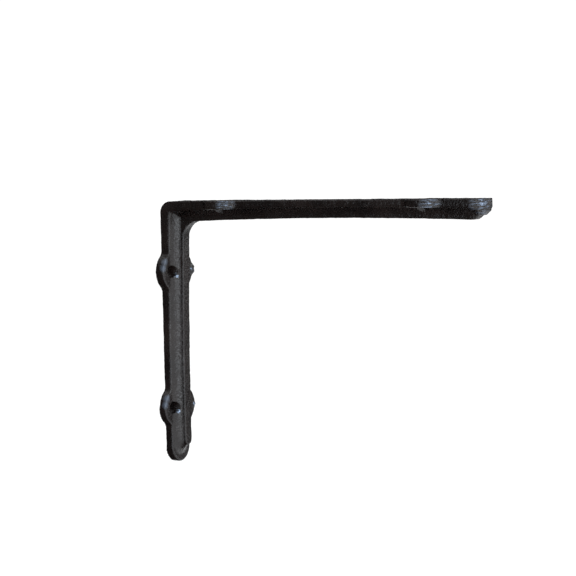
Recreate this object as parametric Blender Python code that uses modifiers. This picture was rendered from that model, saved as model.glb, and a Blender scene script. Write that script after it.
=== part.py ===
"""A plain cast iron shelf bracket, 150 mm tall and 200 mm deep, made as the single casting that it really is.

Metres, +Z up. The bracket is fixed to a wall that lies in the plane X = 0 and reaches out along +X, and its
shelf rests on top. Y runs across it, and the bracket is the same on both sides of Y = 0. The origin is on the
flat back of the upright, on its centre line, midway between its two pairs of ears.

Both arms have the same section: a flat strip against the wall or the shelf, and on its inner side a rib with
a steep bead on a broad, hollow-curved foot. Each is first made along its own run, where x is the distance
from the outer corner, y is across, and z is the distance in from the outer face, and is then set in place.
"""
import math

import bmesh
import bpy
from mathutils import Matrix

# Driving dimensions
UPRIGHT_LENGTH = 0.150
ARM_LENGTH = 0.200
STRIP_WIDTH = 0.0188
UPRIGHT_THICKNESS = (0.0066, 0.00495, 0.0046)   # at the outer corner, midway and at the tip
ARM_THICKNESS = (0.0061, 0.0038, 0.0052)
RIM_RADIUS = 0.0009        # of the edges on the inner side
EAR_BACK_RADIUS = 0.0014   # of the ears' edges on the side of the wall or the shelf
OUTER_CORNER_RADIUS = 0.0070

# Ears: a round lobe on each side of the strip, blended into its edge
UPRIGHT_EARS = (0.040, 0.118)
ARM_EARS = (0.039, 0.164)
EAR_RADIUS = 0.0106
EAR_OFFSET = 0.0052
EAR_BLEND_RADIUS = 0.0025

# Screw holes, one in each ear
HOLE_OFFSET = 0.0079
HOLE_RADIUS = 0.0028
COUNTERSINK_RADIUS = 0.0034
COUNTERSINK_DEPTH = 0.0009

# Rib
UPRIGHT_RIB_DEPTH = (0.0059, 0.0052, 0.0052)   # at the outer corner, midway and at the tip
ARM_RIB_DEPTH = 0.0062
BEAD_HALF_WIDTH = 0.0035
BEAD_DRAFT = 0.0001
BEAD_EDGE_RADIUS = 0.0004
FOOT_RADIUS = 0.0100
FOOT_SLOPES = (math.radians(18.5), math.radians(54))   # at the strip and at the bead
FOOT_TOP_HALF_WIDTH = 0.00343
UPRIGHT_RIB_END = 0.1405
ARM_BEAD_END = 0.1985
ARM_FOOT_END = 0.1972
ARM_RAMP = (0.1912, 0.1980)
TIP_MARGIN = 0.0005
RIB_CORNER_RADIUS = 0.0095
INNER_CORNER_RADIUS = 0.0030

# How the pieces are made
TUCK = 0.0006            # how far a shape reaches into the one that it joins
STEP = 0.00004           # how far the upright's faces stand proud of the arm's, so that none lie in one plane
LIP = 0.00012            # height at which a foot starts, clear of the strip's face
CROSSING = 0.00012       # how far a corner's curve runs past the faces that it joins
ARC_STEPS = 14
SMALL_ARC_STEPS = 4
FOOT_STEPS = 6
ROUND_STEPS = 20
UPRIGHT_SPACING = 0.0215
ARM_SPACING = 0.0125
RAMP_STATIONS = 6
SAME_POINT = 0.00001
SHARP_ANGLE = math.radians(40)

# Places worked out from the dimensions above
HALF_WIDTH = STRIP_WIDTH / 2
FOOT_RUN_OUT = FOOT_RADIUS * (math.sin(FOOT_SLOPES[1]) - math.sin(FOOT_SLOPES[0]))
FOOT_HEIGHT = FOOT_RADIUS * (math.cos(FOOT_SLOPES[0]) - math.cos(FOOT_SLOPES[1]))
SHELF_HEIGHT = sum(UPRIGHT_EARS) / 2

# Axes of each run (along, across, inwards), from the outer corner
UPRIGHT_RUN = Matrix(((0, 0, 1, 0), (0, 1, 0, 0), (-1, 0, 0, SHELF_HEIGHT), (0, 0, 0, 1)))
ARM_RUN = Matrix(((1, 0, 0, 0), (0, -1, 0, 0), (0, 0, -1, SHELF_HEIGHT), (0, 0, 0, 1)))
SIDE_VIEW = Matrix(((1, 0, 0, 0), (0, 0, -1, 0), (0, 1, 0, SHELF_HEIGHT), (0, 0, 0, 1)))


def clear_scene():
    for obj in list(bpy.data.objects):
        bpy.data.objects.remove(obj, do_unlink=True)


def new_collection(name):
    collection = bpy.data.collections.new(name)
    bpy.context.scene.collection.children.link(collection)
    return collection


def cast_iron_paint():
    """Semi-gloss black paint over cast iron."""
    material = bpy.data.materials.new("black_painted_cast_iron")
    material.use_nodes = True
    shader = material.node_tree.nodes["Principled BSDF"]
    shader.inputs["Base Color"].default_value = (0.018, 0.018, 0.020, 1)
    shader.inputs["Roughness"].default_value = 0.42
    shader.inputs["Metallic"].default_value = 0.0
    return material


def curve_through(values, part_way):
    """A smooth curve through the values at the start, the middle and the end of a run."""
    start, middle, end = values
    k = part_way
    return start * (1 - k) * (1 - 2 * k) + 4 * middle * k * (1 - k) + end * k * (2 * k - 1)


def upright_thickness(distance):
    return curve_through(UPRIGHT_THICKNESS, distance / UPRIGHT_LENGTH)


def upright_rib_depth(distance):
    return curve_through(UPRIGHT_RIB_DEPTH, distance / UPRIGHT_LENGTH)


def arm_thickness(distance):
    return curve_through(ARM_THICKNESS, distance / ARM_LENGTH)


def arm_rib_depth(distance):
    """Level along the arm, and then down in a smooth ramp to less than the foot's height."""
    start, end = ARM_RAMP
    k = min(max((distance - start) / (end - start), 0), 1)
    fall = k * k * (3 - 2 * k)
    return ARM_RIB_DEPTH - fall * (ARM_RIB_DEPTH - FOOT_HEIGHT / 2)


def arc(centre, radius, start, end, steps):
    """Points on an arc, from one angle to another in radians, both ends included."""
    angles = [start + (end - start) * i / steps for i in range(steps + 1)]
    return [(centre[0] + radius * math.cos(a), centre[1] + radius * math.sin(a)) for a in angles]


def ear_edge(place, half_width):
    """The strip's edge past one ear: a hollow blend, the round lobe and the second blend."""
    blend_height = half_width + EAR_BLEND_RADIUS
    reach = math.sqrt((EAR_RADIUS + EAR_BLEND_RADIUS) ** 2 - (blend_height - EAR_OFFSET) ** 2)
    slant = math.atan2(blend_height - EAR_OFFSET, reach)
    down = -math.pi / 2
    first = arc((place - reach, blend_height), EAR_BLEND_RADIUS, down, -slant, SMALL_ARC_STEPS)
    lobe = arc((place, EAR_OFFSET), EAR_RADIUS, math.pi - slant, slant, ARC_STEPS)
    last = arc((place + reach, blend_height), EAR_BLEND_RADIUS, math.pi + slant, math.pi - down,
               SMALL_ARC_STEPS)
    return first + lobe[1:-1] + last


def strip_outline(start, length, half_width, ears):
    """The strip seen square on: straight edges with ears, and a half-round tip."""
    edge = [(start, half_width)]
    for place in ears:
        edge += ear_edge(place, half_width)
    tip = arc((length - half_width, 0), half_width, math.pi / 2, -math.pi / 2, ARC_STEPS)
    return edge + tip + [(x, -y) for x, y in reversed(edge)]


def round_ended_outline(start, end, half_width):
    """A bar seen square on, square at its start and half-round at its end."""
    tip = arc((end - half_width, 0), half_width, math.pi / 2, -math.pi / 2, ARC_STEPS)
    return [(start, half_width)] + tip + [(start, -half_width)]


def triangulate(mesh):
    """Divides every face into triangles, which Booleans join more reliably than large many-sided faces."""
    bm = bmesh.new()
    bm.from_mesh(mesh)
    bmesh.ops.triangulate(bm, faces=bm.faces, ngon_method="BEAUTY")
    bm.to_mesh(mesh)
    bm.free()


def mesh_object(name, mesh, run, collection):
    triangulate(mesh)
    mesh.shade_smooth()
    mesh.set_sharp_from_angle(angle=SHARP_ANGLE)
    obj = bpy.data.objects.new(name, mesh)
    obj.matrix_world = run
    collection.objects.link(obj)
    return obj


def extruded(name, outline, low, high):
    """A mesh of a flat outline given the depth from low to high, with one face on each side."""
    curve = bpy.data.curves.new(name, "CURVE")
    curve.dimensions = "2D"
    curve.fill_mode = "NONE"
    curve.extrude = (high - low) / 2
    spline = curve.splines.new("POLY")
    spline.points.add(len(outline) - 1)
    for point, (x, y) in zip(spline.points, outline):
        point.co = (x, y, 0, 1)
    spline.use_cyclic_u = True
    drawn = bpy.data.objects.new(name, curve)
    bpy.context.scene.collection.objects.link(drawn)
    bpy.context.view_layer.update()
    mesh = bpy.data.meshes.new_from_object(drawn.evaluated_get(bpy.context.evaluated_depsgraph_get()))
    bpy.data.objects.remove(drawn, do_unlink=True)
    mesh.name = name
    bm = bmesh.new()
    bm.from_mesh(mesh)
    bmesh.ops.remove_doubles(bm, verts=bm.verts, dist=SAME_POINT)
    for side in (-1, 1):
        rim = [edge for edge in bm.edges if edge.is_boundary and all(side * v.co.z > 0 for v in edge.verts)]
        bmesh.ops.edgeloop_fill(bm, edges=rim)
    bmesh.ops.translate(bm, verts=bm.verts, vec=(0, 0, (low + high) / 2))
    bmesh.ops.recalc_face_normals(bm, faces=bm.faces)
    bm.to_mesh(mesh)
    bm.free()
    return mesh


def top_face(bm):
    return max(bm.faces, key=lambda face: (round(face.calc_center_median().z, 7), face.normal.z))


def round_edges(mesh, radius, segments, chosen):
    """Rounds the edges for which chosen is true."""
    bm = bmesh.new()
    bm.from_mesh(mesh)
    edges = [edge for edge in bm.edges if chosen(edge)]
    bmesh.ops.bevel(bm, geom=edges, offset=radius, offset_type="OFFSET", segments=segments,
                    profile=0.5, affect="EDGES", clamp_overlap=True)
    bm.to_mesh(mesh)
    bm.free()


def add_stations(mesh, stations):
    """Divides a mesh across its run, so that it can follow a curve."""
    bm = bmesh.new()
    bm.from_mesh(mesh)
    for x in stations:
        geometry = bm.verts[:] + bm.edges[:] + bm.faces[:]
        bmesh.ops.bisect_plane(bm, geom=geometry, dist=SAME_POINT / 10,
                               plane_co=(x, 0, 0), plane_no=(1, 0, 0))
    bm.to_mesh(mesh)
    bm.free()


def even_stations(end, spacing):
    return [i * spacing for i in range(1, int(end / spacing) + 1)]


def arm_stations():
    start, end = ARM_RAMP
    step = (end - start) / RAMP_STATIONS
    return even_stations(start - step, ARM_SPACING) + [start + i * step for i in range(RAMP_STATIONS + 1)]


def strip_mesh(name, outline, thickness_at, stations):
    """A strip with rounded rims on its inner side, as thick at each place as thickness_at says."""
    full = thickness_at(0)
    lobe = HALF_WIDTH + EAR_BACK_RADIUS

    def on_inner_rim(edge):
        return all(v.co.z > full - SAME_POINT for v in edge.verts)

    def on_back_of_ear(edge):
        return all(v.co.z < SAME_POINT and abs(v.co.y) > lobe for v in edge.verts)

    mesh = extruded(name, outline, 0, full)
    round_edges(mesh, RIM_RADIUS, 2, on_inner_rim)
    round_edges(mesh, EAR_BACK_RADIUS, 2, on_back_of_ear)
    add_stations(mesh, stations)
    for vertex in mesh.vertices:
        vertex.co.z *= thickness_at(vertex.co.x) / full
    return mesh


def stacked(name, outline, levels):
    """A solid that starts as an outline and is drawn in, level by level: (distance in, height)."""
    (_, low), (_, high) = levels[:2]
    mesh = extruded(name, outline, low, high)
    bm = bmesh.new()
    bm.from_mesh(mesh)
    bm.faces.ensure_lookup_table()
    face = top_face(bm)
    for (inset, height), (next_inset, next_height) in zip(levels[1:], levels[2:]):
        bmesh.ops.inset_region(bm, faces=[face], thickness=next_inset - inset, depth=next_height - height,
                               use_even_offset=True)
    bm.to_mesh(mesh)
    bm.free()
    return mesh


def foot_mesh(name, start, end):
    """The hollow-curved foot of a rib: its sides sweep up an arc that ends inside the bead."""
    first, last = FOOT_SLOPES
    levels = [(0, -TUCK), (0, LIP)]
    for i in range(1, FOOT_STEPS + 1):
        a = first + (last - first) * i / FOOT_STEPS
        levels.append((FOOT_RADIUS * (math.sin(a) - math.sin(first)),
                       FOOT_RADIUS * (math.cos(first) - math.cos(a)) + LIP))
    outline = round_ended_outline(start, end + FOOT_RUN_OUT, FOOT_TOP_HALF_WIDTH + FOOT_RUN_OUT)
    return stacked(name, outline, levels)


def bead_mesh(name, start, end, depth):
    """The steep upper part of a rib, with rounded edges."""
    half_width = BEAD_HALF_WIDTH + BEAD_DRAFT
    shoulder = depth - BEAD_EDGE_RADIUS
    in_by = 2 * BEAD_DRAFT
    radius = BEAD_EDGE_RADIUS
    levels = [(0, -TUCK), (0, 0), (in_by, shoulder)]
    for a in (math.pi / 4, math.pi / 2):
        levels.append((in_by + radius * (1 - math.cos(a)), shoulder + radius * math.sin(a)))
    return stacked(name, round_ended_outline(start, end, half_width), levels)


def follow_depth(mesh, depth_at):
    """Makes a bead that was modelled level as deep at each place as depth_at says."""
    for vertex in mesh.vertices:
        if vertex.co.z > SAME_POINT:
            vertex.co.z *= depth_at(vertex.co.x) / depth_at(0)


def settle(mesh, thickness_at):
    """Sets what was modelled on a flat face onto the strip's own inner face."""
    for vertex in mesh.vertices:
        vertex.co.z += thickness_at(vertex.co.x)


def corner_piece(name, face_x, face_z, radius, half_width):
    """What lies between an upright face, a level one and an arc that touches both, seen from the side.

    Joined on, it fills an inner corner with a hollow curve. Cut away, it rounds an outer corner.
    """
    centre = (face_x + radius - CROSSING, -(face_z + radius - CROSSING))
    curve = arc(centre, radius, math.pi, math.pi / 2, 2 * SMALL_ARC_STEPS)
    behind_x = face_x - 2 * TUCK
    behind_z = -(face_z - 2 * TUCK)
    outline = [(behind_x, centre[1])] + curve + [(centre[0], behind_z), (behind_x, behind_z)]
    return extruded(name, outline, -half_width, half_width)


def screw_hole(name, face_height, run, place, side, collection):
    """A cutter for one screw hole: a plain bore, a countersink and clear space above it."""
    deepest = -2 * TUCK
    highest = face_height + 2 * FOOT_HEIGHT
    profile = [(0, highest), (COUNTERSINK_RADIUS, highest), (COUNTERSINK_RADIUS, face_height),
               (HOLE_RADIUS, face_height - COUNTERSINK_DEPTH), (HOLE_RADIUS, deepest), (0, deepest)]
    mesh = bpy.data.meshes.new(name)
    points = [(radius, 0, height) for radius, height in profile]
    mesh.from_pydata(points, [(i, i + 1) for i in range(len(points) - 1)], [])
    obj = mesh_object(name, mesh, run @ Matrix.Translation((place, side * HOLE_OFFSET, 0)), collection)
    turn = obj.modifiers.new("turn", "SCREW")
    turn.steps = ROUND_STEPS
    turn.render_steps = ROUND_STEPS
    turn.use_merge_vertices = True
    turn.merge_threshold = SAME_POINT
    return obj


def boolean(obj, other, operation):
    modifier = obj.modifiers.new(f"{operation.lower()}_{other.name}", "BOOLEAN")
    modifier.operation = operation
    modifier.solver = "EXACT"
    modifier.object = other


def upright_pieces(shapes):
    stations = even_stations(UPRIGHT_RIB_END, UPRIGHT_SPACING)
    outline = strip_outline(TUCK, UPRIGHT_LENGTH, HALF_WIDTH, UPRIGHT_EARS)
    strip = strip_mesh("upright_strip", outline, upright_thickness, stations)
    foot = foot_mesh("upright_foot", TUCK, UPRIGHT_RIB_END)
    bead = bead_mesh("upright_bead", TUCK, UPRIGHT_RIB_END, upright_rib_depth(0))
    for mesh in (foot, bead):
        add_stations(mesh, stations)
    follow_depth(bead, upright_rib_depth)
    for mesh in (foot, bead):
        settle(mesh, upright_thickness)
    return [mesh_object(mesh.name, mesh, UPRIGHT_RUN, shapes) for mesh in (strip, foot, bead)]


def arm_pieces(shapes):
    stations = arm_stations()
    outline = strip_outline(STEP, ARM_LENGTH, HALF_WIDTH - STEP, ARM_EARS)
    strip = strip_mesh("arm_strip", outline, arm_thickness, stations)
    foot = foot_mesh("arm_foot", TUCK, ARM_FOOT_END)
    bead = bead_mesh("arm_bead", TUCK, ARM_BEAD_END, arm_rib_depth(0))
    for mesh in (foot, bead):
        add_stations(mesh, stations)
    follow_depth(bead, arm_rib_depth)
    for mesh in (foot, bead):
        settle(mesh, arm_thickness)
    return [mesh_object(mesh.name, mesh, ARM_RUN, shapes) for mesh in (strip, foot, bead)]


def inner_corner_fillings(shapes):
    """The rib's rounded inner corner, and the fillet across the strips behind it."""
    near = 2 * RIB_CORNER_RADIUS
    rib = corner_piece("rib_corner", upright_thickness(near) + upright_rib_depth(near),
                       arm_thickness(near) + arm_rib_depth(near),
                       RIB_CORNER_RADIUS, BEAD_HALF_WIDTH - 1.5 * BEAD_DRAFT)
    near = INNER_CORNER_RADIUS
    across = corner_piece("strip_corner", upright_thickness(near), arm_thickness(near),
                          INNER_CORNER_RADIUS, HALF_WIDTH - TUCK)
    return [mesh_object(mesh.name, mesh, SIDE_VIEW, shapes) for mesh in (rib, across)]


def outer_corner_cutter(cutters):
    """What is cut away to round the outer corner, right across the strips."""
    mesh = corner_piece("outer_corner", 0, 0, OUTER_CORNER_RADIUS, HALF_WIDTH + TUCK)
    return mesh_object(mesh.name, mesh, SIDE_VIEW, cutters)


def hole_cutters(cutters):
    made = []
    for run_name, run, ears, thickness_at in (("upright", UPRIGHT_RUN, UPRIGHT_EARS, upright_thickness),
                                              ("arm", ARM_RUN, ARM_EARS, arm_thickness)):
        for number, place in enumerate(ears, 1):
            for side_name, side in (("left", 1), ("right", -1)):
                name = f"{run_name}_hole_{number}_{side_name}"
                made.append(screw_hole(name, thickness_at(place), run, place, side, cutters))
    return made


def main():
    clear_scene()
    collection = new_collection("cast_iron_shelf_bracket")
    shapes = new_collection("shapes_to_join")
    cutters = new_collection("shapes_to_cut_away")

    upright = upright_pieces(shapes)
    arm_strip, arm_foot, arm_bead = arm_pieces(shapes)
    limit_outline = round_ended_outline(-HALF_WIDTH, ARM_LENGTH - TIP_MARGIN, HALF_WIDTH - TIP_MARGIN)
    limit_mesh = extruded("arm_tip_limit", limit_outline, -HALF_WIDTH, 2 * HALF_WIDTH)
    limit = mesh_object("arm_tip_limit", limit_mesh, ARM_RUN, shapes)
    boolean(arm_foot, limit, "INTERSECT")

    casting = upright[0]
    casting.name = "bracket_casting"
    casting.data.name = "bracket_casting"
    casting.data.materials.append(cast_iron_paint())
    shapes.objects.unlink(casting)
    collection.objects.link(casting)
    for shape in [arm_strip] + upright[1:] + [arm_foot, arm_bead] + inner_corner_fillings(shapes):
        boolean(casting, shape, "UNION")
    for cutter in [outer_corner_cutter(cutters)] + hole_cutters(cutters):
        boolean(casting, cutter, "DIFFERENCE")
    for guide in list(shapes.objects) + list(cutters.objects):
        guide.hide_render = True
        guide.display_type = "WIRE"


main()
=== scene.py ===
# %% [markdown]
# # A plain cast iron shelf bracket
#
# This lesson dresses the solid model of a small L-shaped bracket as the real one looks: iron poured in
# a mould of sand, then painted black. The bracket is a single casting, so there is only one piece to
# make. What gives it life is its skin: edges that the sand has softened, a fine grain under the paint,
# small lumps that nobody filed away, and a gloss that shows them.

# %% Load the fixed frame
import math

import bpy
from mathutils import Euler, Matrix, Vector


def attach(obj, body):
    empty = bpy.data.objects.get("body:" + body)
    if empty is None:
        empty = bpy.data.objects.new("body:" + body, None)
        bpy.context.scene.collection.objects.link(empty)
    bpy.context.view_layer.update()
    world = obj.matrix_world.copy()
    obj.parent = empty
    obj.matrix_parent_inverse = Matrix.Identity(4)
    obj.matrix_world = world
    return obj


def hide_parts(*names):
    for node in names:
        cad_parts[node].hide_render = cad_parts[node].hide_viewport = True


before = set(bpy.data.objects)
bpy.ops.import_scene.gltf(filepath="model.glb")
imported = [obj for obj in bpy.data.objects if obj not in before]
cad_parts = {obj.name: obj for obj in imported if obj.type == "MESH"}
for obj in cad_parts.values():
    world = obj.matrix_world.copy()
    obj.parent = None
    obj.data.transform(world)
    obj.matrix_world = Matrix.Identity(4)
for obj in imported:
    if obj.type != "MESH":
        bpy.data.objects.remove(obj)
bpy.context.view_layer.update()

MM = 0.001
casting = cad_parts["bracket_casting"]

# %% [markdown]
# ## The camera
#
# A bracket is photographed from a little above its shelf and well round to its side, from about a metre
# away with a long lens, so that the two arms keep their true lengths. A camera can be placed by eye, or
# pointed at a target with a constraint. Here it is given its heading, its tilt and its roll as three
# angles, and is then moved straight back from the point in the middle of the picture. The numbers were
# fitted to the edges of the two arms in the photograph.

# %% Place the camera
HEADING = math.radians(29.207)
TILT = math.radians(-4.045)
ROLL = math.radians(-1.292)
MIDDLE_OF_PICTURE = Vector((77.173, 0, 30.130)) * MM
DISTANCE = 1083.52 * MM
LENS = 121.93
SENSOR_WIDTH = 36

camera_data = bpy.data.cameras.new("camera")
camera_data.lens = LENS
camera_data.sensor_width = SENSOR_WIDTH
camera = bpy.data.objects.new("camera", camera_data)
bpy.context.scene.collection.objects.link(camera)
turned = Euler((math.pi / 2 + TILT, 0, HEADING)).to_matrix() @ Matrix.Rotation(ROLL, 3, "Z")
camera.rotation_euler = turned.to_euler()
camera.location = MIDDLE_OF_PICTURE + turned @ Vector((0, 0, DISTANCE))
bpy.context.scene.camera = camera
print("camera at, mm:", [round(place / MM) for place in camera.location])

# %% [markdown]
# ## One object at a time
#
# Blender's operators act on all that is selected, and the solid model is still selected after loading.
# So each step first deselects everything and then picks its one object. A second helper adds a
# modifier and applies it at once, which leaves a plain mesh behind.

# %% Helpers for selecting and for modifiers
def select_only(obj):
    bpy.ops.object.select_all(action="DESELECT")
    obj.select_set(True)
    bpy.context.view_layer.objects.active = obj


def apply_modifier(obj, kind, **settings):
    """Adds a modifier with these settings and applies it."""
    select_only(obj)
    modifier = obj.modifiers.new(kind.lower(), kind)
    for name, value in settings.items():
        setattr(modifier, name, value)
    bpy.ops.object.modifier_apply(modifier=modifier.name)
    print(kind.lower(), "->", len(obj.data.vertices), "points")


# %% [markdown]
# ## The casting's own shape
#
# The solid model has the right sizes, but its edges are as sharp as a drawing's. The real edges were
# printed in sand and are soft. One way is to bevel each edge by hand. It is quicker to merge a copy of
# the solid, to rebuild it as an even net of small squares with a voxel remesh, and to let that net
# relax a little, which rounds every edge alike, inside and out, as sand does.

# %% Copy the solid and close its net
SAME_POINT = 0.01 * MM

skin = bpy.data.objects.new("casting_skin", casting.data.copy())
bpy.context.scene.collection.objects.link(skin)
skin.data.materials.clear()
select_only(skin)
bpy.ops.object.mode_set(mode="EDIT")
bpy.ops.mesh.select_all(action="SELECT")
bpy.ops.mesh.remove_doubles(threshold=SAME_POINT)
bpy.ops.object.mode_set(mode="OBJECT")
print("closed copy:", len(skin.data.vertices), "points")

# %% [markdown]
# ## Plugs for the screw holes
#
# The holes are smaller than the net can draw cleanly, and in the photograph they look crisp, as if they
# had been drilled out after casting. So they are plugged for now and cut again at the end. Each plug is
# a cylinder that joins the copy, and the remesh then merges whatever overlaps.

# %% List the holes and plug them
OUT_OF_WALL = Vector((1, 0, 0))
UNDER_SHELF = Vector((0, 0, -1))
HOLE_OFFSET = 7.9
SHELF_FACE = 79
UPRIGHT_HOLES = ((39, 5.56), (-39, 4.59))    # (height, thickness of the strip there), mm
ARM_HOLES = ((39, 4.76), (164, 4.27))        # (distance from the wall, thickness of the strip there), mm
HOLES = []    # (centre on the outer face, direction towards the inner face, thickness of the strip)
for side in (-1, 1):
    for height, thickness in UPRIGHT_HOLES:
        HOLES.append((Vector((0, HOLE_OFFSET * side, height)) * MM, OUT_OF_WALL, thickness * MM))
    for run, thickness in ARM_HOLES:
        HOLES.append((Vector((run, HOLE_OFFSET * side, SHELF_FACE)) * MM, UNDER_SHELF, thickness * MM))


def add_cylinders(sides, radius, reach):
    """A cylinder at each hole, as long as the strip is thick and longer by the reach at both ends."""
    cylinders = []
    for centre, out, thickness in HOLES:
        bpy.ops.object.select_all(action="DESELECT")
        bpy.ops.mesh.primitive_cylinder_add(vertices=sides, radius=radius, depth=thickness + 2 * reach,
                                            location=centre + out * thickness / 2,
                                            rotation=out.to_track_quat("Z", "Y").to_euler())
        cylinders.append(bpy.context.active_object)
    return cylinders


PLUG_SIDES = 32
PLUG_RADIUS = 3.3 * MM
INSET = 0.2 * MM
plugs = add_cylinders(PLUG_SIDES, PLUG_RADIUS, -INSET)
select_only(skin)
for plug in plugs:
    plug.select_set(True)
bpy.ops.object.join()
print("plugged copy:", len(skin.data.vertices), "points")

# %% Rebuild the net and relax it
VOXEL = 0.50 * MM
apply_modifier(skin, "REMESH", mode="VOXEL", voxel_size=VOXEL)
apply_modifier(skin, "SMOOTH", factor=0.5, iterations=1)

# %% [markdown]
# ## Lumps that nobody filed away
#
# Sand falls in and metal squeezes out, so a casting has small faults. This one has a rough stub on the
# rim of its upper far ear, a lesser one on the lower far ear, and a pimple on the arm near its tip. A
# fault could be a separate blob joined on. Pushing the skin itself keeps the casting one piece: a
# vertex group that fades with distance says how much each point moves.

# %% Push lumps out of the skin
def mark_near(obj, name, centre, radius):
    """A vertex group around a centre (mm): full in the middle and fading to the radius."""
    group = obj.vertex_groups.new(name=name)
    middle = Vector(centre) * MM
    for vertex in obj.data.vertices:
        near = 1 - (vertex.co - middle).length / (radius * MM)
        if near > 0:
            group.add([vertex.index], near * near * (3 - 2 * near), "REPLACE")


def push_lump(obj, name, centre, radius, push, axis):
    """Moves the skin near a centre along an axis. All sizes are in mm."""
    mark_near(obj, name, centre, radius)
    apply_modifier(obj, "DISPLACE", vertex_group=name, direction=axis, strength=push * MM, mid_level=0)


def new_clouds(name, size, depth):
    clouds = bpy.data.textures.new(name, "CLOUDS")
    clouds.noise_scale = size
    clouds.noise_depth = depth
    return clouds


UPPER_STUB = (5.6, 14.3, 39.4)
LOWER_STUB = (4.8, 14.6, -39.8)
STUB_RADIUS = 4.6
STUB_CLOUDS = 1.0 * MM
STUB_ROUGHNESS = 1.3 * MM
push_lump(skin, "upper_stub_top", (5.4, 14.2, 40.5), 2.9, 1.7, "X")
push_lump(skin, "upper_stub_low", (5.4, 14.4, 37.9), 2.9, 1.5, "X")
push_lump(skin, "lower_stub", LOWER_STUB, 2.6, 0.5, "X")
push_lump(skin, "arm_pimple", (177.0, -8.6, 79.0), 1.9, 0.8, "Z")
for name, centre in (("upper_stub", UPPER_STUB), ("lower_stub_skin", LOWER_STUB)):
    mark_near(skin, name, centre, STUB_RADIUS)
    apply_modifier(skin, "DISPLACE", vertex_group=name, texture=new_clouds(name, STUB_CLOUDS, 1),
                   texture_coords="LOCAL", direction="NORMAL", strength=STUB_ROUGHNESS, mid_level=0.5)
skin.vertex_groups.clear()

# %% [markdown]
# ## Worn rims
#
# The near ears are rounder on their upper outer side, where hands and cloths have rubbed them for years,
# and that is where they catch the light. A few more rounds of smoothing in just those places wear the
# edge down.

# %% Wear the rims of the near ears
RIM_REACH = 8
for name, centre in (("upper_rim", (5.5, -14.6, 42.5)), ("lower_rim", (4.6, -14.6, -35.5))):
    mark_near(skin, name, centre, RIM_REACH)
    apply_modifier(skin, "SMOOTH", vertex_group=name, factor=0.8, iterations=12)
skin.vertex_groups.clear()

# %% [markdown]
# ## The grain of the sand
#
# Up close the surface isn't flat: broad, shallow swells come from the way the mould was rammed, and a
# fine grain comes from the sand. Both are real relief that can be felt with a finger, so both are
# pushed into the mesh with Displace modifiers that read a cloud texture. The finest grain would need
# millions of faces, so it is left to the paint's bump.

# %% Push the grain into the net
def displace_with_clouds(obj, name, size, height, depth):
    """Moves the surface in and out by a cloud texture: size of its lumps, and height from low to high."""
    apply_modifier(obj, "DISPLACE", texture=new_clouds(name, size, depth), texture_coords="LOCAL",
                   direction="NORMAL", strength=height, mid_level=0.5)


SWELL_SIZE = 7 * MM
SWELL_HEIGHT = 0.30 * MM
GRAIN_SIZE = 1.2 * MM
GRAIN_HEIGHT = 0.26 * MM
displace_with_clouds(skin, "mould_swells", SWELL_SIZE, SWELL_HEIGHT, 1)
displace_with_clouds(skin, "sand_grain", GRAIN_SIZE, GRAIN_HEIGHT, 2)
select_only(skin)
bpy.ops.object.shade_smooth()

# %% [markdown]
# ## Crisp holes
#
# Now the holes are cut for good. A cutter is a plain cylinder that starts behind the ear and ends in the
# clear space in front of it, beyond the bead's foot, which rises beside the hole. It is 7 mm wide, as
# wide as the mouths look in the photograph, and so a little wider than the solid model's bores of 5.6 mm
# and their countersinks of 6.8 mm. All eight cutters are joined and cut away in one Boolean.

# %% Cut the holes
BORE_SIDES = 40
BORE_RADIUS = 3.5 * MM
CLEAR = 5 * MM
SMOOTH_BELOW = math.radians(50)
cutters = add_cylinders(BORE_SIDES, BORE_RADIUS, CLEAR)
select_only(cutters[0])
for cutter in cutters:
    cutter.select_set(True)
bpy.ops.object.join()
apply_modifier(skin, "BOOLEAN", operation="DIFFERENCE", solver="EXACT", object=cutters[0])
select_only(cutters[0])
bpy.ops.object.delete()
select_only(skin)
bpy.ops.object.shade_smooth_by_angle(angle=SMOOTH_BELOW)
print("casting skin:", sum(len(face.vertices) - 2 for face in skin.data.polygons), "triangles")

# %% [markdown]
# ## Black paint over cast iron
#
# The finish is a thin semi-gloss black, brushed or dipped, which follows the grain below it. Nearly all
# the light that comes back from it is reflection, so the colour matters less than the roughness and the
# relief. The colour is a very dark warm black that wanders a little, the roughness wanders too, and
# three noises are stacked as bump, from grains of a millimetre and a half down to the finest.
#
# On the broken stubs the paint is gone and bare iron glints. The same bare-iron colour and metal also
# paint highlights: on the upper outer rims of the near ears, beside their holes, and in slanting streaks
# on the sides of the arm's ears and its tip, where the streaks are pressed in as bump too. Where all this
# shows is worked out from the distance to a few listed points, and broken up with noise.

# %% Helpers for materials
def new_material(name):
    material = bpy.data.materials.new(name)
    material.use_nodes = True
    return material, material.node_tree.nodes, material.node_tree.links


def add_noise(nodes, links, where, scale, detail=2.0, roughness=0.5):
    noise = nodes.new("ShaderNodeTexNoise")
    noise.inputs["Scale"].default_value = scale
    noise.inputs["Detail"].default_value = detail
    noise.inputs["Roughness"].default_value = roughness
    links.new(where, noise.inputs["Vector"])
    return noise


def add_ramp(nodes, links, value, stops):
    """A colour ramp with these (position, colour) stops, driven by value."""
    ramp = nodes.new("ShaderNodeValToRGB")
    while len(ramp.color_ramp.elements) < len(stops):
        ramp.color_ramp.elements.new(1.0)
    for element, (position, colour) in zip(ramp.color_ramp.elements, stops):
        element.position = position
        element.color = (*colour, 1)
    links.new(value, ramp.inputs["Fac"])
    return ramp


def add_math(nodes, links, operation, first, second):
    """A Math node. An input is a socket or a plain number."""
    node = nodes.new("ShaderNodeMath")
    node.operation = operation
    node.use_clamp = True
    for socket, value in zip(node.inputs, (first, second)):
        if isinstance(value, (int, float)):
            socket.default_value = value
        else:
            links.new(value, socket)
    return node.outputs["Value"]


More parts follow.
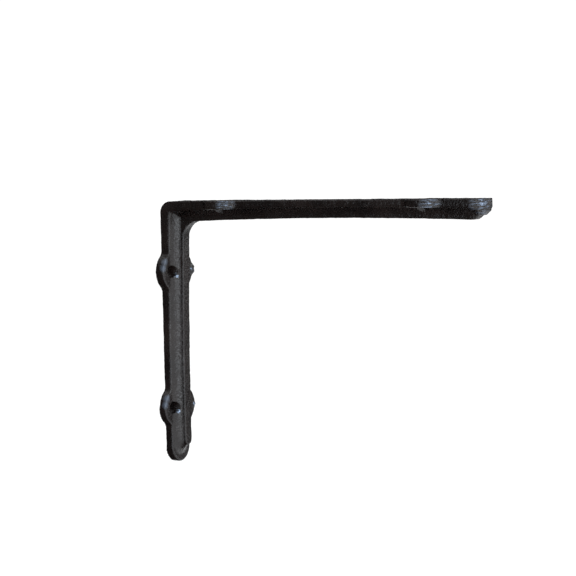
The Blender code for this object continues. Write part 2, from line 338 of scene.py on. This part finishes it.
def add_spot(nodes, links, where, centre, radius):
    """One in the middle of a spot (mm), falling to nothing at its radius."""
    distance = nodes.new("ShaderNodeVectorMath")
    distance.operation = "DISTANCE"
    links.new(where, distance.inputs[0])
    distance.inputs[1].default_value = Vector(centre) * MM
    far = add_math(nodes, links, "DIVIDE", distance.outputs["Value"], radius * MM)
    return add_math(nodes, links, "SUBTRACT", 1.0, far)


def add_spots(nodes, links, where, spots):
    """The strongest of several (centre, radius) spots at each place."""
    strongest = 0.0
    for centre, radius in spots:
        spot = add_spot(nodes, links, where, centre, radius)
        strongest = add_math(nodes, links, "MAXIMUM", strongest, spot)
    return strongest


def grey(level):
    return level, level, level


def add_bump(nodes, links, height, distance, strength, under=None):
    bump = nodes.new("ShaderNodeBump")
    bump.inputs["Distance"].default_value = distance
    bump.inputs["Strength"].default_value = strength
    links.new(height, bump.inputs["Height"])
    if under:
        links.new(under.outputs["Normal"], bump.inputs["Normal"])
    return bump


# %% Mix the paint
paint, nodes, links = new_material("black_paint_on_cast_iron")
shader = nodes["Principled BSDF"]
shader.inputs["IOR"].default_value = 1.38
place = nodes.new("ShaderNodeTexCoord").outputs["Object"]

patches = add_noise(nodes, links, place, 60, detail=4)
tint = add_ramp(nodes, links, patches.outputs["Fac"],
                [(0.35, (0.0034, 0.0021, 0.0019)), (0.65, (0.0074, 0.0048, 0.0042))])
# Bare iron on the broken stubs; the same colour and metal also paint the highlights below.
IRON_AND_HIGHLIGHT_COLOUR = (0.14, 0.17, 0.22, 1)
BLACK = grey(0)
WHITE = grey(1)
bare_iron_and_highlight_mix = nodes.new("ShaderNodeMix")
bare_iron_and_highlight_mix.data_type = "RGBA"
bare_iron_and_highlight_mix.inputs["B"].default_value = IRON_AND_HIGHLIGHT_COLOUR
links.new(tint.outputs["Color"], bare_iron_and_highlight_mix.inputs["A"])
links.new(bare_iron_and_highlight_mix.outputs["Result"], shader.inputs["Base Color"])

# Each spot is a centre and a radius, in mm.
BARE_STUBS = ((UPPER_STUB, 4.4), (LOWER_STUB, 3.2))
# Painted highlights beside the near holes, in the bare-iron colour, where the walls of the holes catch the
# light.
HOLE_HIGHLIGHTS = (((7.1, -5.0, 36.7), 3.2), ((6.1, -5.0, -41.3), 2.8))
# Painted highlights on the upper outer rims of the near ears, in the bare-iron colour.
RIM_HIGHLIGHTS = (((5.4, -15.3, 41.5), 3.8), ((5.4, -13.6, 45.0), 3.8),
             ((4.5, -15.3, -36.5), 4.0), ((4.5, -13.6, -33.0), 4.0))
chip_and_highlight_noise = add_noise(nodes, links, place, 700, detail=2)
spots = add_spots(nodes, links, place, BARE_STUBS + HOLE_HIGHLIGHTS)
chipped_and_hole_highlight = add_math(nodes, links, "MULTIPLY", spots, chip_and_highlight_noise.outputs["Fac"])
bare_stubs_and_hole_highlights = add_ramp(nodes, links, chipped_and_hole_highlight, [(0.30, BLACK), (0.36, WHITE)])
rim_highlight_spots = add_spots(nodes, links, place, RIM_HIGHLIGHTS)
painted_rim_highlight = add_ramp(nodes, links, rim_highlight_spots, [(0.25, BLACK), (0.80, grey(0.36))])

# Painted highlights on the sides of the arm's ears and its tip, in slanting streaks of the bare-iron colour;
# the same streaks are also pressed in as bump.
ARM_HIGHLIGHTS = (((45.5, -12.5, 76.5), 6), ((170.5, -12.5, 76.5), 6.5), ((199, -6, 76.5), 9))
FILE_SLANT = math.radians(28)
FILE_MARK_SCALE = (250, 250, 1500)    # narrow across the marks and long along them
FILE_MARK_DEPTH = 0.6 * MM
arm_highlight_spots = add_spots(nodes, links, place, ARM_HIGHLIGHTS)
slanted = nodes.new("ShaderNodeMapping")
slanted.inputs["Rotation"].default_value = (0, FILE_SLANT, 0)
slanted.inputs["Scale"].default_value = FILE_MARK_SCALE
links.new(place, slanted.inputs["Vector"])
marks = add_noise(nodes, links, slanted.outputs["Vector"], 1.0, detail=2)
streaks = add_ramp(nodes, links, marks.outputs["Fac"], [(0.50, BLACK), (0.58, WHITE)])
file_marks_and_highlight = add_math(nodes, links, "MULTIPLY", arm_highlight_spots, streaks.outputs["Color"])
# Bare iron on the stubs and the painted highlights together set both the colour and the metal.
bare_and_highlight_mask = add_math(nodes, links, "MAXIMUM", bare_stubs_and_hole_highlights.outputs["Color"], file_marks_and_highlight)
bare_and_highlight_mask = add_math(nodes, links, "MAXIMUM", bare_and_highlight_mask, painted_rim_highlight.outputs["Color"])
links.new(bare_and_highlight_mask, bare_iron_and_highlight_mix.inputs["Factor"])
links.new(bare_and_highlight_mask, shader.inputs["Metallic"])

gloss = add_noise(nodes, links, place, 350, detail=4)
dulled = add_ramp(nodes, links, gloss.outputs["Fac"], [(0.30, grey(0.15)), (0.70, grey(0.32))])
links.new(dulled.outputs["Color"], shader.inputs["Roughness"])

BUMPS = ((650, 0.28 * MM, 0.9), (1300, 0.10 * MM, 0.8), (3200, 0.03 * MM, 0.6))    # (scale, height, strength)
under = None
for scale, distance, strength in BUMPS:
    grain = add_noise(nodes, links, place, scale, detail=2, roughness=0.6)
    under = add_bump(nodes, links, grain.outputs["Fac"], distance, strength, under)
under = add_bump(nodes, links, file_marks_and_highlight, FILE_MARK_DEPTH, 1.0, under)
links.new(under.outputs["Normal"], shader.inputs["Normal"])

skin.data.materials.append(paint)
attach(skin, "root")
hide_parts("bracket_casting")
print("paint:", len(paint.node_tree.nodes), "nodes")

# %% [markdown]
# ## A pale floor
#
# The bracket hangs free in the picture, before plain white. A broad pale disc well below it serves as
# the floor, and the world behind it is just as white, so that no horizon shows.

# %% Lay the floor and set the world
FLOOR_DEPTH = 300 * MM
FLOOR_RADIUS = 6
WORLD_STRENGTH = 1.08
bpy.ops.object.select_all(action="DESELECT")
bpy.ops.mesh.primitive_circle_add(vertices=96, radius=FLOOR_RADIUS, fill_type="NGON",
                                  location=(0, 0, -FLOOR_DEPTH))
floor = bpy.context.active_object
floor.name = "floor"
pale, nodes, links = new_material("pale_floor")
nodes["Principled BSDF"].inputs["Base Color"].default_value = (0.96, 0.96, 0.96, 1)
nodes["Principled BSDF"].inputs["Roughness"].default_value = 0.9
floor.data.materials.append(pale)

world = bpy.data.worlds.new("white_studio")
world.use_nodes = True
world.node_tree.nodes["Background"].inputs["Color"].default_value = (1, 1, 1, 1)
world.node_tree.nodes["Background"].inputs["Strength"].default_value = WORLD_STRENGTH
bpy.context.scene.world = world
bpy.context.scene.view_settings.view_transform = "Standard"
print("floor at height, mm:", round(floor.location.z / MM))

# %% [markdown]
# ## Windows
#
# Black gloss shows what stands around it, so the light is chosen for its reflections. A broad, cool
# window lies in front and to the right, with a brighter pane in it for the hollow beside the bead. A
# narrow pane stands at the left, where the near edges and the walls of the holes turn towards it, and a
# panel overhead draws the upper rims.

# %% Set the lights
WATTS_PER_AREA = 4    # at a brightness of one, for each square metre


def add_panel(name, azimuth, elevation, distance, size, brightness, colour=(1, 1, 1)):
    """A rectangular light in a direction from the middle of the picture (degrees), facing it."""
    turn, rise = math.radians(azimuth), math.radians(elevation)
    direction = Vector((math.cos(turn) * math.cos(rise), math.sin(turn) * math.cos(rise), math.sin(rise)))
    data = bpy.data.lights.new(name, "AREA")
    data.shape = "RECTANGLE"
    data.size, data.size_y = size
    data.energy = WATTS_PER_AREA * size[0] * size[1] * brightness
    data.color = colour
    panel = bpy.data.objects.new(name, data)
    bpy.context.scene.collection.objects.link(panel)
    panel.location = MIDDLE_OF_PICTURE + direction * distance
    panel.rotation_euler = direction.to_track_quat("Z", "Y").to_euler()
    print(name, "power, W:", round(data.energy, 1))


COOL = (0.86, 0.93, 1.0)
add_panel("window", -12, 8, 1.7, (4.2, 1.7), 0.65, COOL)
add_panel("side_pane", -84, 6, 0.85, (0.20, 0.9), 3, COOL)
add_panel("bright_pane", -32, 6, 1.6, (0.5, 0.9), 4.5, COOL)
add_panel("overhead", 2, 52, 1.3, (0.8, 0.8), 6, COOL)

# %% [markdown]
# ## Dark cards
#
# On the other sides stand dark cards, out of the picture, so that the bracket's near side and its edges
# read as black against white, and a grey one tones down what the upright's face mirrors. One card lies
# flat and another stands low, so that faces which tilt down don't mirror the pale floor. The cards are
# seen by reflections alone.

# %% Stand up the cards
def add_card(name, towards, distance, width, height, shade, lying=False):
    """A card in a direction from the bracket, facing it or lying flat. It shows only in reflections."""
    direction = Vector(towards).normalized()
    facing = (0, 0, 0) if lying else direction.to_track_quat("Z", "Y").to_euler()
    bpy.ops.object.select_all(action="DESELECT")
    position = MIDDLE_OF_PICTURE + direction * distance
    bpy.ops.mesh.primitive_plane_add(size=1, location=position, rotation=facing)
    card = bpy.context.active_object
    card.name = name
    card.scale = (width, height, 1)
    card.visible_camera = False
    card.visible_diffuse = False
    card.visible_shadow = False
    material, nodes, links = new_material(name)
    nodes["Principled BSDF"].inputs["Base Color"].default_value = (shade, shade, shade, 1)
    nodes["Principled BSDF"].inputs["Roughness"].default_value = 1.0
    card.data.materials.append(material)
    print(name, "at, mm:", [round(part / MM) for part in position])


add_card("left_card", (-0.30, -1, 0), 1.0, 2.4, 2.0, 0.04)
add_card("back_card", (-1, -0.15, 0), 0.9, 2.2, 2.0, 0.03)
add_card("far_card", (-0.35, 1, 0), 1.0, 1.5, 2.0, 0.03)
add_card("under_card", (-0.617, -0.51, -0.29), 0.851, 1.32, 1.58, 0.01, lying=True)
add_card("low_card", (-0.08, 0.94, -0.36), 0.75, 1.8, 0.36, 0.06)
add_card("right_card", (0.50, 0.866, 0.10), 1.2, 1.2, 1.3, 0.6)
